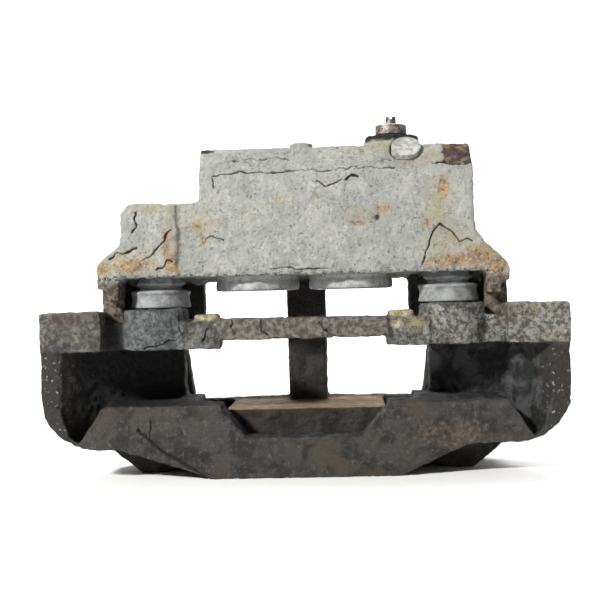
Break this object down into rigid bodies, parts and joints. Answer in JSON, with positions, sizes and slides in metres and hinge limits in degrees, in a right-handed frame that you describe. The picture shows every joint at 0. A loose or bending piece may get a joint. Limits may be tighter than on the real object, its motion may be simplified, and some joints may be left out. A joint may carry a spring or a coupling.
{
  "type": "brake caliper",
  "caption": "Floating disc brake caliper with side-by-side pistons, sliding on two booted guide pins in its anchor bracket.",
  "frame": {"origin": "under the middle of the assembly, on the outboard face that it stands on", "axes": "+Z inboard along the wheel axis, +Y away from the wheel's centre, X tangential"},
  "size_m": [0.316, 0.108, 0.219],
  "materials": {
    "bracket_iron": "rough, weathered",
    "housing_iron": "flaking paint over rusted iron",
    "boot_rubber": "dusty matte",
    "seal_rubber": "smooth",
    "pin_steel": "ground",
    "piston_steel": "polished",
    "bush_metal": "machined",
    "plug_steel": "dull",
    "fitting_steel": "dull, stained"
  },
  "bodies": {
    "bracket": {"anchor_bracket": "bracket_iron", "guide_pin_left": "pin_steel", "guide_pin_boot_left": "boot_rubber", "guide_pin_right": "pin_steel", "guide_pin_boot_right": "boot_rubber"},
    "caliper": {"caliper_housing": "housing_iron", "bleeder_adapter": "fitting_steel", "cross_drill_plug": "plug_steel", "pin_bush_left": "bush_metal", "piston_seal_left": "seal_rubber", "piston_boot_left": "boot_rubber", "boot_retainer_left": "pin_steel", "pin_bush_right": "bush_metal", "piston_seal_right": "seal_rubber", "piston_boot_right": "boot_rubber", "boot_retainer_right": "pin_steel"},
    "piston_left": {"piston_left": "piston_steel"},
    "piston_right": {"piston_right": "piston_steel"},
    "bleeder_screw": {"bleeder_screw": "fitting_steel"}
  },
  "joints": [
    {"name": "caliper_slide", "type": "slide", "parent": "bracket", "child": "caliper", "axis": [0, 0, -1], "range_m": [0, 0.012], "deforming": ["guide_pin_boot_left", "guide_pin_boot_right"]},
    {"name": "piston_left_slide", "type": "slide", "parent": "caliper", "child": "piston_left", "axis": [0, 0, -1], "range_m": [0, 0.03], "deforming": ["piston_boot_left"]},
    {"name": "piston_right_slide", "type": "slide", "parent": "caliper", "child": "piston_right", "axis": [0, 0, -1], "range_m": [0, 0.03], "deforming": ["piston_boot_right"]},
    {"name": "bleeder_turn", "type": "hinge", "parent": "caliper", "child": "bleeder_screw", "pos_m": [0.057, -0.007, 0.21], "axis": [0, 0, 1], "range_deg": [0, 270]}
  ]
}
